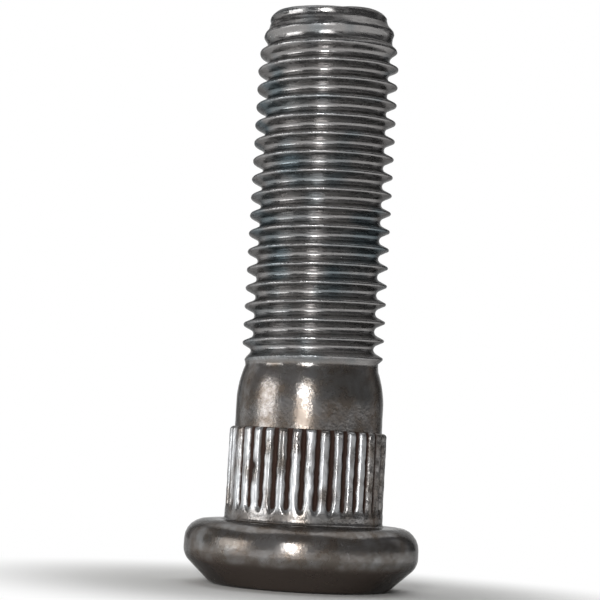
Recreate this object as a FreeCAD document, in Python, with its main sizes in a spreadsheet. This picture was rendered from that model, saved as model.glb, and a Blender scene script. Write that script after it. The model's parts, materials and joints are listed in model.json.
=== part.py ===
import FreeCAD, Part
import math
import os

import Sketcher

# Press-in wheel stud for a car hub: a round forged head, a knurled collar that is pressed into the
# hub flange, a short plain shank, a rounded cone, and a threaded length with a rolled lead end.
# It stands on its head. The origin is the centre of the head's base, and +Z points to the thread.

# Driving sizes in millimetres, degrees or counts: name, value, meaning
sizes = (
    ("underhead_length", 42.15, "seat under the head to the tip"),
    ("collar_diameter", 12.9, "over the knurl's crests"),
    ("collar_length", 7.5, "seat to the top of the knurl"),
    ("collar_chamfer", 0.3, "lead-in at the top of the knurl"),
    ("neck_length", 0.8, "plain band between the seat and the groove ends"),
    ("neck_fillet", 0.45, "inner corner between the seat and the neck"),
    ("groove_count", 34, "knurl grooves round the collar"),
    ("groove_depth", 0.36, "crest to root"),
    ("groove_angle", 90, "opening angle of each groove"),
    ("groove_runout", 0.45, "height over which a groove rises out at its lower end"),
    ("cutter_standoff", 0.3, "reach of the groove cutter beyond the crests"),
    ("head_overhang", 3.2, "head edge beyond the collar"),
    ("rim_height", 3.05, "chamfer to the seat"),
    ("rim_lower_radius", 1.5, "corner between the chamfer and the rim"),
    ("rim_upper_radius", 1.6, "corner between the rim and the seat"),
    ("head_chamfer_width", 2.45, "chamfer under the head, inwards"),
    ("head_chamfer_height", 2.25, "chamfer under the head, upwards"),
    ("base_corner_radius", 0.5, "corner between the base and the chamfer"),
    ("shank_step", 0.4, "shank below the knurl's crests"),
    ("shank_length", 2.1, "plain shank above the knurl"),
    ("cone_length", 3.05, "rounded cone from the shank to the run-out"),
    ("cone_drop", 0.6, "run-out valley below the shank"),
    ("runout_height", 0.45, "flank of the last turn"),
    ("thread_diameter", 11.75, "over the thread's crests"),
    ("lead_length", 2.3, "turns that are not fully formed"),
    ("lead_drop", 0.6, "thread radius lost over the lead"),
    ("tip_length", 1.05, "chamfer at the very end"),
    ("tip_drop", 0.7, "radius lost over that chamfer"),
    ("tip_corner_radius", 0.25, "corner between that chamfer and the end face"),
    ("tip_land", 0.9, "flat ring round the dished end"),
    ("dish_depth", 0.35, "hollow left in the end by thread rolling"),
)

doc = FreeCAD.newDocument("wheel_stud")
sheet = doc.addObject("Spreadsheet::Sheet", "dims")
for row, (alias, value, meaning) in enumerate(sizes, start=1):
    sheet.set(f"A{row}", meaning)
    sheet.set(f"B{row}", str(value))
    sheet.setAlias(f"B{row}", alias)
doc.recompute()

# Radii and heights that follow from the driving sizes
collar_radius = "dims.collar_diameter / 2"
head_radius = f"({collar_radius} + dims.head_overhang)"
base_radius = f"({head_radius} - dims.head_chamfer_width)"
shank_radius = f"({collar_radius} - dims.shank_step)"
valley_radius = f"({shank_radius} - dims.cone_drop)"
thread_radius = "dims.thread_diameter / 2"
lead_radius = f"({thread_radius} - dims.lead_drop)"
tip_radius = f"({lead_radius} - dims.tip_drop)"
dish_radius = f"({tip_radius} - dims.tip_land)"

seat_height = "(dims.head_chamfer_height + dims.rim_height)"
collar_top = f"({seat_height} + dims.collar_length)"
cone_bottom = f"({collar_top} + dims.shank_length)"
cone_top = f"({cone_bottom} + dims.cone_length)"
thread_bottom = f"({cone_top} + dims.runout_height)"
end_height = f"({seat_height} + dims.underhead_length)"
lead_top = f"({end_height} - dims.tip_length)"
lead_bottom = f"({lead_top} - dims.lead_length)"
dish_height = f"({end_height} - dims.dish_depth)"

body = doc.addObject("PartDesign::Body", "wheel_stud")
body.Label = "wheel_stud"


def measure(expression):
    return float(sheet.evalExpression(expression.replace("dims.", "")))


def origin_feature(role):
    return next(item for item in body.Origin.OriginFeatures if item.Role == role)


def new_sketch(name, plane):
    sketch = body.newObject("Sketcher::SketchObject", name)
    sketch.AttachmentSupport = [(origin_feature(plane), "")]
    sketch.MapMode = "FlatFace"
    return sketch


def hold(sketch, kind, edge, end, expression):
    # Ties one coordinate of an edge's end to the sheet
    index = sketch.addConstraint(Sketcher.Constraint(kind, -1, 1, edge, end, measure(expression)))
    sketch.setExpression(f"Constraints[{index}]", expression)


def close_outline(sketch, count, smooth_edge=None):
    # Joins each edge to the next, without a corner where the smooth edge begins
    for edge in range(count):
        following = (edge + 1) % count
        kind = "Tangent" if following == smooth_edge else "Coincident"
        sketch.addConstraint(Sketcher.Constraint(kind, edge, 2, following, 1))


def point(corner):
    radius, height = corner
    return FreeCAD.Vector(measure(radius), measure(height), 0)


# Half section of the stud: corners as radius and height, from the axis at the base up to the tip
corners = (
    ("0", "0"),
    (base_radius, "0"),
    (head_radius, "dims.head_chamfer_height"),
    (head_radius, seat_height),
    (collar_radius, seat_height),
    (collar_radius, collar_top),
    (shank_radius, collar_top),
    (shank_radius, cone_bottom),
    (valley_radius, cone_top),
    (thread_radius, thread_bottom),
    (thread_radius, lead_bottom),
    (lead_radius, lead_top),
    (tip_radius, end_height),
    (dish_radius, end_height),
    ("0", dish_height),
)
cone_edge = corners.index((shank_radius, cone_bottom))

section = new_sketch("half_section", "XZ_Plane")
for edge, start in enumerate(corners):
    finish = corners[(edge + 1) % len(corners)]
    if edge == cone_edge:
        # The cone is an arc that leaves the shank without a corner
        drop = measure(shank_radius) - measure(valley_radius)
        rise = measure(cone_top) - measure(cone_bottom)
        arc_radius = (drop ** 2 + rise ** 2) / (2 * drop)
        centre = point(start) - FreeCAD.Vector(arc_radius, 0, 0)
        circle = Part.Circle(centre, FreeCAD.Vector(0, 0, 1), arc_radius)
        section.addGeometry(Part.ArcOfCircle(circle, 0, math.asin(rise / arc_radius)))
    else:
        section.addGeometry(Part.LineSegment(point(start), point(finish)))
close_outline(section, len(corners), cone_edge)
section.addConstraint(Sketcher.Constraint("Coincident", 0, 1, -1, 1))
for edge, (radius, height) in enumerate(corners):
    before_radius, before_height = corners[edge - 1]
    if edge == 0:
        continue
    if radius == before_radius:
        section.addConstraint(Sketcher.Constraint("Vertical", edge - 1))
    elif radius == "0":
        section.addConstraint(Sketcher.Constraint("PointOnObject", edge, 1, -2))
    else:
        hold(section, "DistanceX", edge, 1, radius)
    if height == before_height:
        section.addConstraint(Sketcher.Constraint("Horizontal", edge - 1))
    else:
        hold(section, "DistanceY", edge, 1, height)

turned = body.newObject("PartDesign::Revolution", "turned_form")
turned.Profile = section
turned.ReferenceAxis = (section, ["V_Axis"])
turned.Angle = 360
doc.recompute()


def ring_edge(shape, radius, height):
    # Names the circular edge of that radius at that height
    for number, edge in enumerate(shape.Edges, start=1):
        curve = edge.Curve
        if not isinstance(curve, Part.Circle) or abs(curve.Axis.z) < 0.5:
            continue
        if abs(curve.Radius - measure(radius)) < 1e-5 and abs(curve.Center.z - measure(height)) < 1e-5:
            return f"Edge{number}"
    raise RuntimeError(f"no edge of radius {radius} at height {height}")


def dress(kind, name, field, size, radius, height):
    # Rounds or chamfers one turned corner
    below = body.Tip
    feature = body.newObject(f"PartDesign::{kind}", name)
    feature.Base = (below, [ring_edge(below.Shape, radius, height)])
    feature.setExpression(field, f"dims.{size}")
    doc.recompute()


dress("Fillet", "rim_upper_corner", "Radius", "rim_upper_radius", head_radius, seat_height)
dress("Fillet", "rim_lower_corner", "Radius", "rim_lower_radius", head_radius, "dims.head_chamfer_height")
dress("Fillet", "base_corner", "Radius", "base_corner_radius", base_radius, "0")
dress("Fillet", "neck_corner", "Radius", "neck_fillet", collar_radius, seat_height)
dress("Chamfer", "collar_lead", "Size", "collar_chamfer", collar_radius, collar_top)
dress("Fillet", "tip_corner", "Radius", "tip_corner_radius", tip_radius, end_height)

# Knurl: one V groove with a sloped lower end, repeated round the collar
groove_top = collar_top
groove_bottom = f"({seat_height} + dims.neck_length)"
runout_top = f"({groove_bottom} + dims.groove_runout)"
root_radius = f"({collar_radius} - dims.groove_depth)"
reach = "(dims.groove_depth + dims.cutter_standoff)"
half_opening = f"({reach} * tan(dims.groove_angle * 0.5 deg))"


def groove_sketch(name, height, root):
    # A triangle that points at the axis, turned by half a pitch so that a crest lies on +X
    sketch = new_sketch(name, "XY_Plane")
    apex = FreeCAD.Vector(measure(root), 0, 0)
    outer = measure(root) + measure(reach)
    left = FreeCAD.Vector(outer, measure(half_opening), 0)
    right = FreeCAD.Vector(outer, -measure(half_opening), 0)
    for start, finish in ((apex, right), (right, left), (left, apex)):
        sketch.addGeometry(Part.LineSegment(start, finish))
    close_outline(sketch, 3)
    sketch.addConstraint(Sketcher.Constraint("PointOnObject", 0, 1, -1))
    sketch.addConstraint(Sketcher.Constraint("Symmetric", 1, 1, 1, 2, -1))
    hold(sketch, "DistanceX", 0, 1, root)
    hold(sketch, "DistanceX", 1, 1, f"{root} + {reach}")
    hold(sketch, "DistanceY", 1, 2, half_opening)
    turn = FreeCAD.Rotation(FreeCAD.Vector(0, 0, 1), 180 / measure("dims.groove_count"))
    sketch.AttachmentOffset = FreeCAD.Placement(FreeCAD.Vector(0, 0, measure(height)), turn)
    sketch.setExpression("AttachmentOffset.Base.z", height)
    sketch.setExpression("AttachmentOffset.Rotation.Angle", "180 deg / dims.groove_count")
    return sketch


volume_before = body.Tip.Shape.Volume
groove = body.newObject("PartDesign::Pocket", "groove")
groove.Profile = groove_sketch("groove_section", groove_top, root_radius)
groove.Type = "Length"
groove.setExpression("Length", f"{groove_top} - {runout_top}")
body.Tip = groove
doc.recompute()

groove_end = body.newObject("PartDesign::SubtractiveLoft", "groove_end")
groove_end.Profile = groove_sketch("groove_end_upper", runout_top, root_radius)
groove_end.Sections = [groove_sketch("groove_end_lower", groove_bottom, collar_radius)]
groove_end.Ruled = True
body.Tip = groove_end
doc.recompute()

knurl = body.newObject("PartDesign::PolarPattern", "knurl")
knurl.Originals = [groove, groove_end]
knurl.Axis = (origin_feature("Z_Axis"), [""])
knurl.Angle = 360
knurl.setExpression("Occurrences", "dims.groove_count")
body.Tip = knurl
doc.recompute()

# Nothing is written unless every step worked and each groove took material away
for item in doc.Objects:
    if "Invalid" in item.State or "Error" in item.State:
        raise RuntimeError(f"{item.Name} failed")
stud = body.Shape
if stud.isNull() or not stud.isValid() or len(stud.Solids) != 1:
    raise RuntimeError("the stud is not one valid solid")
groove_volume = (volume_before - stud.Volume) / measure("dims.groove_count")
full_section = measure("dims.groove_depth") ** 2 * math.tan(math.radians(measure("dims.groove_angle") / 2))
if groove_volume < 0.5 * full_section * measure(f"{groove_top} - {runout_top}"):
    raise RuntimeError("the knurl grooves cut too little")

os.makedirs("parts", exist_ok=True)
stud.exportStep(f"parts/{body.Label}.step")
print(f"{body.Label}: volume {stud.Volume:.1f} mm3, height {stud.BoundBox.ZLength:.2f} mm")
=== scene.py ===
import json
import math

import bmesh
import bpy
from mathutils import Matrix, Vector, noise


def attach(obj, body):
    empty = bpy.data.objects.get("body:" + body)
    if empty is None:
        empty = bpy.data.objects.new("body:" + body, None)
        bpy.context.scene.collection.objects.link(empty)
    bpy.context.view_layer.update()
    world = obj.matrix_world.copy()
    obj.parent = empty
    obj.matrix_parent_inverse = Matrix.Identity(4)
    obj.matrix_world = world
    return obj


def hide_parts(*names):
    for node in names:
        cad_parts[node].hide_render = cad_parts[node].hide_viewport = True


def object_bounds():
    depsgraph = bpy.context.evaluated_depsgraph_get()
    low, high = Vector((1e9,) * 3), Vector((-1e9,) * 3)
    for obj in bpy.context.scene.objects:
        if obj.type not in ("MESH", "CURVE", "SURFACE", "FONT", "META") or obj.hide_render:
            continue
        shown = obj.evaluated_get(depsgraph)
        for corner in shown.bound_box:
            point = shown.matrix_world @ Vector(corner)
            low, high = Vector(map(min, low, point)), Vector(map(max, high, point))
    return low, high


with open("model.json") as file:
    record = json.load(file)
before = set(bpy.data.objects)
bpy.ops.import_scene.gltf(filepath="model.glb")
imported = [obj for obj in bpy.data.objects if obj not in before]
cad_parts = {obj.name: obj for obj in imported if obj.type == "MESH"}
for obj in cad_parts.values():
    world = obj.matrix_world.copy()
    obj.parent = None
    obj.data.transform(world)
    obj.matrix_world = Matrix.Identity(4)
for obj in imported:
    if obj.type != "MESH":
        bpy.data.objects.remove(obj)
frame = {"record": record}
cadBox = [list(corner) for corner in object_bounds()]

mm = 0.001  # the stud is modelled in millimetres, and scaled to metres at the end
slack = 0.01  # millimetres, for picking vertices that lie on a known radius or height
mounts = {mount["name"]: mount for mount in frame["record"]["mounts"]}
threadRadius = mounts["thread"]["dims"]["r_mm"]
collarRadius = mounts["knurl_collar"]["dims"]["r_mm"]
headRadius = cadBox[1][0] / mm
studHeight = cadBox[1][2] / mm


def smooth(low, high, value):
    t = min(1.0, max(0.0, (value - low) / (high - low)))
    return t * t * (3 - 2 * t)


def along(stops, value):  # straight runs between (place, amount) stops
    for (x0, y0), (x1, y1) in zip(stops, stops[1:]):
        if value <= x1:
            return y0 + (y1 - y0) * max(0.0, (value - x0) / (x1 - x0))
    return stops[-1][1]


def wire(bm, corners, steps):  # an open chain in the XZ plane: radius, height and rounding of each corner
    verts = [bm.verts.new((radius, 0, height)) for radius, height, _ in corners]
    for first, second in zip(verts, verts[1:]):
        bm.edges.new((first, second))
    for vert, (_, _, size) in zip(verts, corners):
        if size:
            bmesh.ops.bevel(bm, geom=[vert], offset=size, offset_type="OFFSET", segments=steps,
                            profile=0.5, affect="VERTICES", material=-1)


def cutLongEdges(bm, longest):
    for edge in list(bm.edges):
        cuts = int(edge.calc_length() / longest)
        if cuts:
            bmesh.ops.subdivide_edges(bm, edges=[edge], cuts=cuts)


headForm = {
    "baseRing": 1.2,         # the flat inside this ring is one face
    "baseRadius": 7.2,
    "baseRound": 0.4,
    "chamferTop": 2.2,
    "rimLowerRound": 0.6,
    "rimUpperRound": 1.7,
    "neckRound": 0.3,
    "roundSteps": 6,
    "seatDrop": 0.09,        # the visible seat lies a little below the solid's
    "inset": 0.1,            # room for the uneven forging inside the true diameter
    "offCentre": -0.07,      # the upset head sits a little to one side
    "unevenness": 0.04,
    "waveSize": 4.5,
    "unevenBelow": 0.6,      # full unevenness from here down, measured from the seat
}
knurlForm = {
    "teeth": 34,
    "columnsPerTooth": 12,
    "top": 12.8,
    "topRound": 0.34,
    "rowsAbove": 0.1,        # close rows start here, measured from the seat
    "rowHeight": 0.17,
    "grooveBottom": 6.1,
    "runout": 0.55,
    "runoutNarrowing": 0.7,
    "depth": 0.36,
    "landHalf": 0.17,        # half of the crest, before its edge rolls over
    "edgeFall": 0.36,        # from the crest's edge to the bottom of the groove
    "raggedness": 0.07,
    "dents": 0.035,
    "dentsPerMm": 2.6,
    "dentStart": 6.0,
    "dentFull": 6.4,
    "nickAngle": math.radians(-130),
    "nickHeight": 9.7,
    "nickWidth": 0.3,
    "nickLength": 0.42,
    "nickDepth": 0.8,        # share of a groove's depth
    "bandBurnish": 0.2,      # the plain band is rubbed less than the teeth
    "shadedSideAngle": math.radians(-2),  # painted shade: the knurl's side facing away from the lamps is kept less rubbed bare, so it looks darker
    "paintedShade": 0.9,
}
shankForm = {
    "radius": 6.02,
    "coneBottom": 14.9,
    "coneTop": 17.8,
    "coneTopRadius": 5.46,
    "coneRows": 12,
    "rowHeight": 0.45,
    "dents": 0.012,
    "dentsPerMm": 1.4,
}
seatHeight = mounts["head_seat"]["pos_m"][2] / mm - headForm["seatDrop"]


def makeLowerBody(bm):
    head, knurl, shank = headForm, knurlForm, shankForm
    rimRadius = headRadius - head["inset"]
    drop = shank["radius"] - shank["coneTopRadius"]
    rise = shank["coneTop"] - shank["coneBottom"]
    arcRadius = (drop ** 2 + rise ** 2) / (2 * drop)
    sweep = math.asin(rise / arcRadius)
    corners = [
        (head["baseRing"], 0, 0),
        (head["baseRadius"], 0, head["baseRound"]),
        (rimRadius, head["chamferTop"], head["rimLowerRound"]),
        (rimRadius, seatHeight, head["rimUpperRound"]),
        (collarRadius, seatHeight, head["neckRound"]),
        (collarRadius, knurl["top"], knurl["topRound"]),
        (shank["radius"], knurl["top"], 0),
        (shank["radius"], shank["coneBottom"], 0),
    ]
    for row in range(1, shank["coneRows"] + 1):  # the cone is an arc that leaves the shank smoothly
        turn = sweep * row / shank["coneRows"]
        corners.append((shank["radius"] - arcRadius * (1 - math.cos(turn)),
                        shank["coneBottom"] + arcRadius * math.sin(turn), 0))
    wire(bm, corners, head["roundSteps"])
    for edge in list(bm.edges):
        low, high = sorted(vert.co.z for vert in edge.verts)
        if low > seatHeight + knurl["rowsAbove"] and high < knurl["top"]:
            cuts = int((high - low) / knurl["rowHeight"])
            bmesh.ops.subdivide_edges(bm, edges=[edge], cuts=cuts)
    cutLongEdges(bm, shank["rowHeight"])
    bmesh.ops.spin(bm, geom=bm.verts[:] + bm.edges[:], cent=(0, 0, 0), axis=(0, 0, 1), angle=2 * math.pi,
                   steps=knurl["teeth"] * knurl["columnsPerTooth"], use_merge=True)
    bmesh.ops.remove_doubles(bm, verts=bm.verts[:], dist=1e-4)


def grooveShare(phase, height, tooth):  # 0 on a tooth, 1 at the bottom of a groove
    knurl = knurlForm
    side = 1 if phase > 0 else -1
    wobble = noise.noise(Vector((tooth * 3.7, height * 1.3, side * 4.0)))  # each flank has its own wander
    across = abs(phase) * 2 * math.pi * collarRadius / knurl["teeth"] + knurl["raggedness"] * wobble
    climb = smooth(0, knurl["runout"], height - knurl["grooveBottom"])
    start = knurl["landHalf"] + knurl["edgeFall"] * knurl["runoutNarrowing"] * (1 - climb)
    return climb ** 0.5 * smooth(start, knurl["landHalf"] + knurl["edgeFall"], across)


def nickShare(angle, height):  # 1 in the middle of the nick, fading out round it
    knurl = knurlForm
    aside = math.remainder(angle - knurl["nickAngle"], 2 * math.pi) * collarRadius
    return math.exp(-(aside / knurl["nickWidth"]) ** 2
                    - ((height - knurl["nickHeight"]) / knurl["nickLength"]) ** 2)


def burnishShare(place, angle):  # how far the knurl is rubbed bare: in patches, less on the band and top edge, and with painted shade on the side away from the lamps
    knurl = knurlForm
    patch = smooth(-0.45, 0.25, noise.noise(Vector((place.x * 0.7, place.y * 0.7, place.z * 0.5))))
    # painted shade: less rubbed silver on the side of the knurl that faces away from the lamps
    shadedSide = smooth(0.72, 0.9, math.cos(angle - knurl["shadedSideAngle"]))
    top = 1 - smooth(knurl["top"] - 0.12, knurl["top"], place.z)
    teeth = smooth(-0.1, 0.5, place.z - knurl["grooveBottom"])
    band = knurl["bandBurnish"] + (1 - knurl["bandBurnish"]) * teeth
    return patch * (1 - knurl["paintedShade"] * shadedSide) * top * band


def cutKnurl(bm):
    knurl, shank = knurlForm, shankForm
    pitchAngle = 2 * math.pi / knurl["teeth"]
    groove = bm.verts.layers.float.new("groove")
    burnish = bm.verts.layers.float.new("burnish")
    for vert in bm.verts:
        height = vert.co.z
        radius = math.hypot(vert.co.x, vert.co.y)
        turns = math.atan2(vert.co.y, vert.co.x) / pitchAngle
        tooth = round(turns)
        if radius < shank["radius"] + slack or not seatHeight + 0.05 < height < knurl["top"] + slack:
            continue
        share = grooveShare(turns - tooth, height, tooth % knurl["teeth"])
        nick = nickShare(turns * pitchAngle, height)
        chips = noise.noise(Vector((vert.co.x, vert.co.y, height * 0.7)) * knurl["dentsPerMm"])
        cut = knurl["depth"] * max(share, knurl["nickDepth"] * nick)
        cut += knurl["dents"] * (1 + chips) * smooth(knurl["dentStart"], knurl["dentFull"], height)
        if share > 0 or height > seatHeight + 0.5:  # the neck below stays round
            wanted = max(shank["radius"], radius - cut)
            vert.co.x *= wanted / radius
            vert.co.y *= wanted / radius
        vert[groove] = max(share, nick)
        vert[burnish] = burnishShare(vert.co, turns * pitchAngle)


def roughenHead(bm):  # the forged head is slightly off centre and not quite round
    head = headForm
    for vert in bm.verts:
        share = 1 - smooth(seatHeight - head["unevenBelow"], seatHeight + 0.05, vert.co.z)
        if share == 0 or math.hypot(vert.co.x, vert.co.y) < head["baseRing"] + slack:
            continue
        swell = share * head["unevenness"] * noise.noise(vert.co / head["waveSize"]) / headRadius
        vert.co.x *= 1 + swell
        vert.co.y *= 1 + swell
        vert.co.x += head["offCentre"] * share


def roughenShank(bm):  # shallow dents, none next to the collar and the thread
    shank = shankForm
    for vert in bm.verts:
        share = smooth(knurlForm["top"] + 0.1, knurlForm["top"] + 0.6, vert.co.z)
        share *= 1 - smooth(shank["coneTop"] - 0.6, shank["coneTop"] - 0.1, vert.co.z)
        depth = shank["dents"] * (1 + noise.noise(vert.co * shank["dentsPerMm"]))
        dent = 1 - share * depth / shank["radius"]
        vert.co.x *= dent
        vert.co.y *= dent


threadForm = {
    "pitch": 1.5,
    "crestInset": 0.06,      # the rolled crests are rounded off below the full diameter
    "rootRadius": 4.955,
    "crestHalf": 0.09,
    "crestRound": 0.085,
    "rootHalf": 0.25,
    "rootRound": 0.24,
    "roundSteps": 4,
    "stepsPerTurn": 96,
    "turns": 22,
    "startHeight": 15.11,
    "bottom": 17.9,
    "top": 47.0,
    "ragged": 0.022,         # crests are torn a little by the rolling
    "paintedShade": 0.1,         # painted shade: the crests on the side away from the lamps are kept less bright
}
crestRadius = threadRadius - threadForm["crestInset"]
crestLine = [  # height and radius of the crests, which fade out at both ends
    (threadForm["bottom"], shankForm["coneTopRadius"]), (18.25, 5.58), (18.7, 5.77), (19.2, crestRadius),
    (43.0, crestRadius), (43.9, 5.72), (44.86, 5.53), (45.7, 5.33), (46.42, 5.12), (46.8, 4.92),
    (threadForm["top"], 4.74),
]
rootLine = [  # height and radius of the roots
    (threadForm["bottom"], shankForm["coneTopRadius"]), (18.35, 5.4), (18.9, 5.1),
    (19.6, threadForm["rootRadius"]), (42.8, threadForm["rootRadius"]), (43.6, 5.04), (44.5, 5.16),
    (45.3, 5.17), (46.0, 5.04), (46.4, 4.8), (46.75, 4.66), (threadForm["top"], 4.54),
]


def makeThread():
    thread = threadForm
    pitch = thread["pitch"]
    bm = bmesh.new()
    wire(bm, [
        (thread["rootRadius"], 0, 0),
        (thread["rootRadius"], thread["rootHalf"], thread["rootRound"]),
        (crestRadius, pitch / 2 - thread["crestHalf"], thread["crestRound"]),
        (crestRadius, pitch / 2 + thread["crestHalf"], thread["crestRound"]),
        (thread["rootRadius"], pitch - thread["rootHalf"], thread["rootRound"]),
        (thread["rootRadius"], pitch, 0),
    ], thread["roundSteps"])
    bmesh.ops.translate(bm, verts=bm.verts[:], vec=(0, 0, thread["startHeight"]))
    bmesh.ops.spin(bm, geom=bm.verts[:] + bm.edges[:], cent=(0, 0, 0), axis=(0, 0, 1),
                   dvec=(0, 0, pitch / thread["stepsPerTurn"]),
                   angle=2 * math.pi, steps=thread["stepsPerTurn"], use_merge=False)
    oneTurn = bm.verts[:] + bm.edges[:] + bm.faces[:]
    for turn in range(1, thread["turns"]):
        copied = bmesh.ops.duplicate(bm, geom=oneTurn)["geom"]
        verts = [item for item in copied if isinstance(item, bmesh.types.BMVert)]
        bmesh.ops.translate(bm, verts=verts, vec=(0, 0, pitch * turn))
    bmesh.ops.remove_doubles(bm, verts=bm.verts[:], dist=1e-4)
    return bm


def formThreadEnds(bm):  # both ends of the thread fade out between the crest line and the root line
    thread = threadForm
    crest = bm.verts.layers.float.new("crest")
    for vert in bm.verts:
        radius = math.hypot(vert.co.x, vert.co.y)
        share = (radius - thread["rootRadius"]) / (crestRadius - thread["rootRadius"])
        root = along(rootLine, vert.co.z)
        wanted = root + share * (along(crestLine, vert.co.z) - root)
        tear = noise.noise(Vector((vert.co.x * 1.6, vert.co.y * 1.6, vert.co.z * 3)))
        wanted -= thread["ragged"] * (1 + tear) * smooth(0.8, 1.0, share)
        vert.co.x *= wanted / radius
        vert.co.y *= wanted / radius
        # painted shade: the crest share, and with it the crests' torn silver, is lowered on the side away
        # from the lamps
        shadedSide = smooth(0.0, 0.75, vert.co.x / radius)
        vert[crest] = share * (1 - thread["paintedShade"] * shadedSide)


def trim(bm, height, keepAbove):
    bmesh.ops.bisect_plane(bm, geom=bm.verts[:] + bm.edges[:] + bm.faces[:], dist=1e-5,
                           plane_co=(0, 0, height), plane_no=(0, 0, 1),
                           clear_inner=keepAbove, clear_outer=not keepAbove)


def rimEdges(bm, height):
    return [edge for edge in bm.edges if edge.is_boundary
            and all(abs(vert.co.z - height) < 1e-3 for vert in edge.verts)]


tipForm = {
    "rings": [(4.42, 0.18), (4.22, 0.06), (3.92, 0.01), (3.6, 0.0), (3.3, 0.01), (3.0, 0.03),
              (2.0, 0.2), (0.8, 0.34)],  # radius, and depth below the top, over the end into the dish
    "slant": 0.024,          # the sheared end leans a little
    "slantRadius": 3.92,     # where the leaning end reaches the full height
    "dent": 0.28,
    "dentAngle": math.radians(-93),
    "dentWidth": 0.5,
    "waviness": 0.04,
}


def closeTip(bm):  # grows the end from the cut thread, ring by ring
    tip = tipForm
    top = studHeight - tip["slant"] * tip["slantRadius"]
    edges = rimEdges(bm, threadForm["top"])
    for radius, depth in tip["rings"]:
        grown = bmesh.ops.extrude_edge_only(bm, edges=edges)["geom"]
        verts = [item for item in grown if isinstance(item, bmesh.types.BMVert)]
        edges = [item for item in grown if isinstance(item, bmesh.types.BMEdge)
                 and all(vert in verts for vert in item.verts)]
        rim = 1 - smooth(0.1, 0.4, depth)  # the dish itself is even
        for vert in verts:
            angle = math.atan2(vert.co.y, vert.co.x)
            away = (angle - tip["dentAngle"]) / tip["dentWidth"]
            wave = noise.noise(Vector((2 * math.cos(angle), 2 * math.sin(angle), 3.1)))
            low = tip["dent"] * math.exp(-away * away) + tip["waviness"] * (0.5 + 0.5 * wave)
            lean = tip["slant"] * radius * math.cos(angle)
            vert.co = (radius * math.cos(angle), radius * math.sin(angle), top - depth + lean - low * rim)
    bmesh.ops.holes_fill(bm, edges=edges, sides=0)


def addThread(bm):
    threadPart = makeThread()
    formThreadEnds(threadPart)
    trim(threadPart, threadForm["bottom"], True)
    trim(threadPart, threadForm["top"], False)
    closeTip(threadPart)
    print("thread:", len(threadPart.faces), "faces")
    threadMesh = bpy.data.meshes.new("threadPart")
    threadPart.to_mesh(threadMesh)
    threadPart.free()
    bm.verts.layers.float.new("crest")
    bm.from_mesh(threadMesh)
    bpy.data.meshes.remove(threadMesh)
    joint = rimEdges(bm, shankForm["coneTop"]) + rimEdges(bm, threadForm["bottom"])
    bmesh.ops.bridge_loops(bm, edges=joint)


finishForm = {
    "shadeFull": 1.9,        # painted shade covers the underside of the head up to here
    "shadeEnd": 2.4,
    "shadeWander": 0.3,
    "headGrain": 0.45,       # how coarse each surface is
    "collarGrain": 0.55,     # more than the head's
    "shankPolish": 0.3,      # less than the collar's
    "threadPolish": 0.5,     # less than the shank's, except on the torn crests
    "crestTear": 0.7,
    "rolledOver": 0.6,       # the forged skin ends over this height
    "sharpAngle": math.radians(48),
}


def markFinish(bm):  # where the head's underside gets painted shade, and where the steel is forged, rolled, coarse or smooth
    finish = finishForm
    crest = bm.verts.layers.float["crest"]
    scale = bm.verts.layers.float.new("scale")
    forged = bm.verts.layers.float.new("forged")
    grain = bm.verts.layers.float.new("grain")
    collarTop, threadBottom = knurlForm["top"], threadForm["bottom"]
    for vert in bm.verts:
        height = vert.co.z
        wander = finish["shadeWander"] * noise.noise(vert.co * 0.8)
        # painted shade on the downward-facing chamfer under the head, with a wandering upper edge
        vert[scale] = 1 - smooth(finish["shadeFull"], finish["shadeEnd"], height + wander)
        rolled = smooth(threadBottom, threadBottom + finish["rolledOver"], height)
        vert[forged] = 1 - rolled
        if height > threadForm["top"] + slack:
            vert[crest] = 0  # the sheared end is plain
        collar = smooth(seatHeight - 0.3, seatHeight + 0.3, height)
        coarse = finish["headGrain"] + finish["collarGrain"] * collar
        coarse -= finish["shankPolish"] * smooth(collarTop, collarTop + 0.2, height)
        tear = finish["crestTear"] * smooth(0.8, 1.0, vert[crest])
        vert[grain] = coarse - rolled * (finish["threadPolish"] - tear)
    for edge in bm.edges:
        edge.smooth = edge.calc_face_angle(0) < finish["sharpAngle"]
    for face in bm.faces:
        face.smooth = True


def makeStud():
    bm = bmesh.new()
    makeLowerBody(bm)
    cutKnurl(bm)
    roughenHead(bm)
    roughenShank(bm)
    bottomRim = [edge for edge in bm.edges if edge.is_boundary and edge.verts[0].co.z < slack]
    bmesh.ops.holes_fill(bm, edges=bottomRim, sides=0)
    print("head, collar and shank:", len(bm.faces), "faces")
    addThread(bm)
    bmesh.ops.recalc_face_normals(bm, faces=bm.faces[:])
    markFinish(bm)
    print("open edges:", sum(1 for edge in bm.edges if not edge.is_manifold))
    bmesh.ops.scale(bm, vec=(mm, mm, mm), verts=bm.verts[:])
    mesh = bpy.data.meshes.new("stud")
    bm.to_mesh(mesh)
    bm.free()
    stud = bpy.data.objects.new("stud", mesh)
    bpy.context.scene.collection.objects.link(stud)
    print("stud:", sum(len(face.vertices) - 2 for face in mesh.polygons), "triangles")
    return stud


def linear(hexColour):
    channels = [int(hexColour[i:i + 2], 16) / 255 for i in (1, 3, 5)]
    return tuple(c / 12.92 if c <= 0.04045 else ((c + 0.055) / 1.055) ** 2.4 for c in channels) + (1.0,)


def addNode(tree, kind, inputs=None, **settings):
    node = tree.nodes.new(kind)
    for name, value in settings.items():
        setattr(node, name, value)
    for socket, value in (inputs or {}).items():
        if isinstance(value, bpy.types.NodeSocket):
            tree.links.new(value, node.inputs[socket])
        else:
            node.inputs[socket].default_value = value
    return node


def newMaterial(name):
    material = bpy.data.materials.new(name)
    material.use_nodes = True
    material.node_tree.nodes.clear()
    return material, material.node_tree


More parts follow.
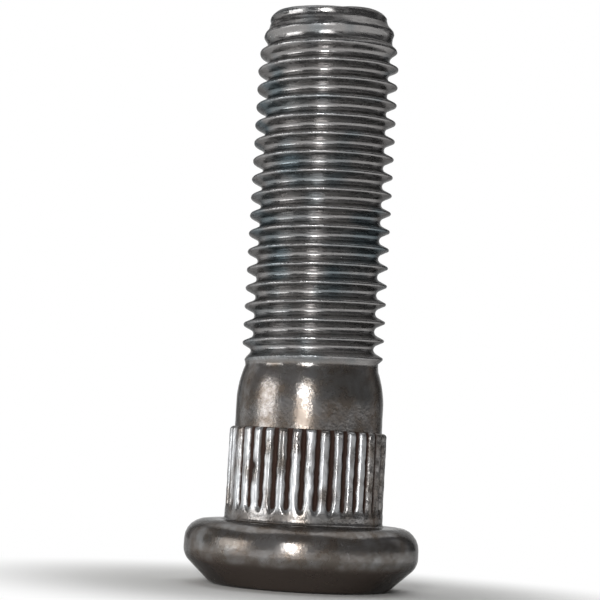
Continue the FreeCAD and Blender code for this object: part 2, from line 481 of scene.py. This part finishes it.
steelLook = {
    "bare": "#8f8d8c",       # rolled steel
    "brown": "#685f57",      # dried oil
    "blue": "#566a72",       # temper tint
    "silver": "#babcbe",     # burnished crests
    "grooveShade": "#382923",      # painted shade down in the knurl's grooves and the nick
    "scale": "#5c534d",      # painted shade under the head
    "edge": "#5a5a5a",       # dull at glancing angles
    "tintSize": 5.0,         # millimetres
    "blotchSize": 1.6,
    "streakSize": 0.9,       # rolling marks, five times as long as wide; drawn coarser than real so they show
    "speckSize": 0.24,       # real grain is finer too
    "speckHeight": 0.026,
    "forgedGloss": (0.12, 0.33),  # roughness, from the oiliest blotches to the driest
    "rolledGloss": (0.19, 0.42),
    "oilGloss": (0.12, 0.26),
    "burnishedGloss": 0.36,
    "grooveShadeGloss": 0.6,
    "oilFilm": 0.15,
    "rolledMetal": 0.9,
    "forgedMetal": 0.74,     # dulled by oil and oxide
    "grooveShadeMetal": 0.2,
    "rolledTint": 0.6,
    "forgedTint": 0.12,
    "crestSilver": 0.3,
}


def makeSteel():
    # cold-forged alloy steel under a thin film of old oil: dark, glossy and mottled brown and blue,
    # with silver rubbed bare on the knurl and torn bright along the thread's crests
    look = steelLook
    material, tree = newMaterial("oiled forged steel")
    place = addNode(tree, "ShaderNodeTexCoord").outputs["Object"]
    tint = addNode(tree, "ShaderNodeTexNoise", {
        "Vector": place, "Scale": 1 / (look["tintSize"] * mm), "Detail": 2.0}).outputs["Fac"]
    blotch = addNode(tree, "ShaderNodeTexNoise", {
        "Vector": place, "Scale": 1 / (look["blotchSize"] * mm), "Detail": 5.0,
        "Roughness": 0.65}).outputs["Fac"]
    speck = addNode(tree, "ShaderNodeTexNoise", {
        "Vector": place, "Scale": 1 / (look["speckSize"] * mm), "Detail": 2.0,
        "Roughness": 0.6}).outputs["Fac"]
    drawn = addNode(tree, "ShaderNodeMapping", {"Vector": place, "Scale": (1, 1, 5)}).outputs["Vector"]
    streak = addNode(tree, "ShaderNodeTexNoise", {
        "Vector": drawn, "Scale": 1 / (look["streakSize"] * mm), "Detail": 3.0}).outputs["Fac"]
    marks = {}
    for name in ("crest", "groove", "burnish", "grain", "scale", "forged"):
        marks[name] = addNode(tree, "ShaderNodeAttribute", attribute_name=name).outputs["Fac"]

    # a colour mix has its colours at sockets 6 and 7, a plain mix its numbers at 2 and 3
    oily = addNode(tree, "ShaderNodeMapRange", {
        "Value": blotch, "From Min": 0.32, "From Max": 0.6, "To Max": marks["forged"]}).outputs["Result"]
    film = addNode(tree, "ShaderNodeMix", {
        "Factor": oily, 6: linear(look["bare"]), 7: linear(look["brown"])}, data_type="RGBA").outputs[2]
    chill = addNode(tree, "ShaderNodeMapRange", {
        "Value": marks["forged"], "To Min": look["rolledTint"],
        "To Max": look["forgedTint"]}).outputs["Result"]
    cold = addNode(tree, "ShaderNodeMapRange", {
        "Value": tint, "From Min": 0.5, "From Max": 0.65, "To Max": chill}).outputs["Result"]
    tinted = addNode(tree, "ShaderNodeMix", {
        "Factor": cold, 6: film, 7: linear(look["blue"])}, data_type="RGBA").outputs[2]

    ridge = addNode(tree, "ShaderNodeMapRange", {
        "Value": marks["crest"], "From Min": 0.84, "From Max": 0.97,
        "To Max": look["crestSilver"]}).outputs["Result"]
    torn = addNode(tree, "ShaderNodeMapRange", {
        "Value": speck, "From Min": 0.4, "From Max": 0.6}).outputs["Result"]
    scraped = addNode(tree, "ShaderNodeMath", {0: ridge, 1: torn}, operation="MULTIPLY").outputs[0]
    worn = addNode(tree, "ShaderNodeMath", {0: scraped, 1: marks["burnish"]}, operation="MAXIMUM").outputs[0]
    silvered = addNode(tree, "ShaderNodeMix", {
        "Factor": worn, 6: tinted, 7: linear(look["silver"])}, data_type="RGBA").outputs[2]
    # painted shade: the knurl's grooves and the nick go dark brown, duller and less metallic, with a speckled
    # edge
    shadedGroove = addNode(tree, "ShaderNodeMath", {
        0: speck, 1: 0.3, 2: marks["groove"]}, operation="MULTIPLY_ADD").outputs[0]
    shadeInGrooves = addNode(tree, "ShaderNodeMapRange", {
        "Value": shadedGroove, "From Min": 0.5, "From Max": 0.9}).outputs["Result"]
    # painted shade under the head
    shadedUnderHead = addNode(tree, "ShaderNodeMix", {
        "Factor": marks["scale"], 6: silvered, 7: linear(look["scale"])}, data_type="RGBA").outputs[2]
    colour = addNode(tree, "ShaderNodeMix", {
        "Factor": shadeInGrooves, 6: shadedUnderHead, 7: linear(look["grooveShade"])}, data_type="RGBA").outputs[2]

    glossy, dry = look["forgedGloss"]
    forgedGloss = addNode(tree, "ShaderNodeMapRange", {
        "Value": blotch, "From Min": 0.3, "From Max": 0.7, "To Min": glossy, "To Max": dry}).outputs["Result"]
    glossy, dry = look["rolledGloss"]
    rolledGloss = addNode(tree, "ShaderNodeMapRange", {
        "Value": streak, "From Min": 0.42, "From Max": 0.64, "To Min": glossy,
        "To Max": dry}).outputs["Result"]
    glossy, dry = look["oilGloss"]
    oilGloss = addNode(tree, "ShaderNodeMapRange", {
        "Value": blotch, "From Min": 0.3, "From Max": 0.7, "To Min": glossy, "To Max": dry}).outputs["Result"]
    satin = addNode(tree, "ShaderNodeMix", {
        "Factor": marks["forged"], 2: rolledGloss, 3: forgedGloss}).outputs[0]
    matt = addNode(tree, "ShaderNodeMix", {
        "Factor": marks["burnish"], 2: satin, 3: look["burnishedGloss"]}).outputs[0]
    roughness = addNode(tree, "ShaderNodeMix", {"Factor": shadeInGrooves, 2: matt, 3: look["grooveShadeGloss"]}).outputs[0]
    clean = addNode(tree, "ShaderNodeMapRange", {
        "Value": marks["forged"], "To Min": look["rolledMetal"],
        "To Max": look["forgedMetal"]}).outputs["Result"]
    metal = addNode(tree, "ShaderNodeMapRange", {
        "Value": shadeInGrooves, "To Min": clean, "To Max": look["grooveShadeMetal"]}).outputs["Result"]
    oil = addNode(tree, "ShaderNodeMapRange", {
        "Value": shadeInGrooves, "To Min": look["oilFilm"], "To Max": 0.0}).outputs["Result"]
    bump = addNode(tree, "ShaderNodeBump", {
        "Strength": marks["grain"], "Distance": look["speckHeight"] * mm, "Height": speck}).outputs["Normal"]
    shader = addNode(tree, "ShaderNodeBsdfPrincipled", {
        "Base Color": colour, "Metallic": metal, "Roughness": roughness, "Normal": bump,
        "Specular Tint": linear(look["edge"]),
        "Coat Weight": oil, "Coat Roughness": oilGloss, "Coat Normal": bump})
    addNode(tree, "ShaderNodeOutputMaterial", {"Surface": shader.outputs["BSDF"]})
    return material


stud = makeStud()
stud.data.materials.append(makeSteel())
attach(stud, "root")
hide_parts("wheel_stud")
print("stud dressed")

viewPoint = {
    "distance": 168.0,       # millimetres from the stud's axis
    "height": 11.15,
    "azimuth": math.radians(2.8),
    "lookUp": math.radians(4.169),
    "aside": math.radians(0.436),
    "roll": math.radians(3.2),
    "pixelsPerMm": 12.2,     # at the axis
    "framePixels": 600,
    "sensor": 36.0,
}


def placeCamera():
    view = viewPoint
    turn = Matrix.Rotation(view["azimuth"], 3, "Z")
    ahead = turn @ Vector((0, 1, 0))
    right = turn @ Vector((1, 0, 0))
    up = Vector((0, 0, 1))
    ahead, up = (ahead * math.cos(view["lookUp"]) + up * math.sin(view["lookUp"]),
                 up * math.cos(view["lookUp"]) - ahead * math.sin(view["lookUp"]))
    ahead, right = (ahead * math.cos(view["aside"]) - right * math.sin(view["aside"]),
                    right * math.cos(view["aside"]) + ahead * math.sin(view["aside"]))
    right, up = (right * math.cos(view["roll"]) + up * math.sin(view["roll"]),
                 up * math.cos(view["roll"]) - right * math.sin(view["roll"]))
    camera = bpy.data.cameras.new("camera")
    camera.sensor_width = view["sensor"]
    camera.lens = view["sensor"] * view["pixelsPerMm"] * view["distance"] / view["framePixels"]
    camera.clip_start = 0.01
    holder = bpy.data.objects.new("camera", camera)
    bpy.context.scene.collection.objects.link(holder)
    place = turn @ Vector((0, -view["distance"], view["height"])) * mm
    holder.matrix_world = Matrix.Translation(place) @ Matrix((right, up, -ahead)).transposed().to_4x4()
    bpy.context.scene.camera = holder


stageForm = {
    "floorSize": 8.0,        # metres
    "backdropDistance": 0.6,
    "backdropWidth": 0.6,
    "paper": "#f2f2f0",
    "fadeStart": 0.012,      # the floor turns to white between these distances from the stud
    "fadeEnd": 0.034,
}


def makePaper():
    # matt white paper: soft shadow close to the stud, even white further away
    material, tree = newMaterial("matt white paper")
    place = addNode(tree, "ShaderNodeTexCoord").outputs["Object"]
    away = addNode(tree, "ShaderNodeVectorMath", {0: place}, operation="LENGTH").outputs["Value"]
    fade = addNode(tree, "ShaderNodeMapRange", {
        "Value": away, "From Min": stageForm["fadeStart"], "From Max": stageForm["fadeEnd"]},
        interpolation_type="SMOOTHSTEP").outputs["Result"]
    path = addNode(tree, "ShaderNodeLightPath").outputs
    direct = addNode(tree, "ShaderNodeMath", {
        0: path["Is Camera Ray"], 1: path["Is Glossy Ray"]}, operation="MAXIMUM").outputs[0]
    seen = addNode(tree, "ShaderNodeMath", {
        0: direct, 1: path["Is Transmission Ray"]}, operation="MAXIMUM").outputs[0]
    share = addNode(tree, "ShaderNodeMath", {0: fade, 1: seen}, operation="MULTIPLY").outputs[0]
    paper = addNode(tree, "ShaderNodeBsdfDiffuse", {"Color": linear(stageForm["paper"])}).outputs[0]
    white = addNode(tree, "ShaderNodeEmission", {"Color": (1, 1, 1, 1), "Strength": 1.0}).outputs[0]
    mix = addNode(tree, "ShaderNodeMixShader", {0: share, 1: paper, 2: white}).outputs[0]
    addNode(tree, "ShaderNodeOutputMaterial", {"Surface": mix})
    return material


def makeStage():
    paper = makePaper()
    upright = Matrix.Rotation(math.pi / 2, 3, "X")
    for name, size in (("floor", stageForm["floorSize"]), ("backdrop", stageForm["backdropWidth"])):
        bm = bmesh.new()
        bmesh.ops.create_grid(bm, x_segments=1, y_segments=1, size=size / 2)
        if name == "backdrop":
            bmesh.ops.rotate(bm, verts=bm.verts[:], cent=(0, 0, 0), matrix=upright)
            bmesh.ops.translate(bm, verts=bm.verts[:], vec=(0, stageForm["backdropDistance"], size / 2))
        mesh = bpy.data.meshes.new(name)
        bm.to_mesh(mesh)
        bm.free()
        sheet = bpy.data.objects.new(name, mesh)
        bpy.context.scene.collection.objects.link(sheet)
        mesh.materials.append(paper)


studioLight = {
    "lamps": [  # name, degrees left of the camera, distance, height, width, length, radiance
        ("front softbox", 8.6, 0.5, 0.024, 0.08, 0.38, 29.0),
        ("left softbox", 70.0, 0.5, 0.024, 0.27, 0.34, 5.2),
        ("left card", 128.0, 0.5, 0.1, 0.3, 0.4, 0.7),
        ("right card", -122.0, 0.5, 0.1, 0.14, 0.4, 0.3),
    ],
    "overheadPlace": (0, 0.5, 1.0),
    "overheadAim": (0, 0.2, 0),
    "overheadWidth": 1.6,
    "overheadLength": 1.4,
    "overheadRadiance": 1.0,
    "surround": (0.045, 0.045, 0.048, 1),
}


def addLamp(name, place, target, width, length, radiance):
    light = bpy.data.lights.new(name, "AREA")
    light.shape = "RECTANGLE"
    light.size = width
    light.size_y = length
    light.energy = radiance * math.pi * width * length
    holder = bpy.data.objects.new(name, light)
    holder.location = place
    holder.rotation_euler = (Vector(target) - Vector(place)).to_track_quat("-Z", "Y").to_euler()
    bpy.context.scene.collection.objects.link(holder)


def lightStudio():
    studio = studioLight
    middle = (0, 0, studHeight / 2 * mm)
    for name, left, distance, height, width, length, radiance in studio["lamps"]:
        angle = -math.pi / 2 + viewPoint["azimuth"] - math.radians(left)
        place = (distance * math.cos(angle), distance * math.sin(angle), height)
        addLamp(name, place, middle, width, length, radiance)
    addLamp("overhead softbox", studio["overheadPlace"], studio["overheadAim"], studio["overheadWidth"],
            studio["overheadLength"], studio["overheadRadiance"])
    world = bpy.data.worlds.new("studio")
    bpy.context.scene.world = world
    world.use_nodes = True
    tree = world.node_tree
    tree.nodes.clear()
    sky = addNode(tree, "ShaderNodeBackground", {"Color": studio["surround"], "Strength": 1.0})
    addNode(tree, "ShaderNodeOutputWorld", {"Surface": sky.outputs["Background"]})


placeCamera()
makeStage()
lightStudio()
bpy.context.scene.view_settings.view_transform = "Standard"
print("camera, stage and lights placed")
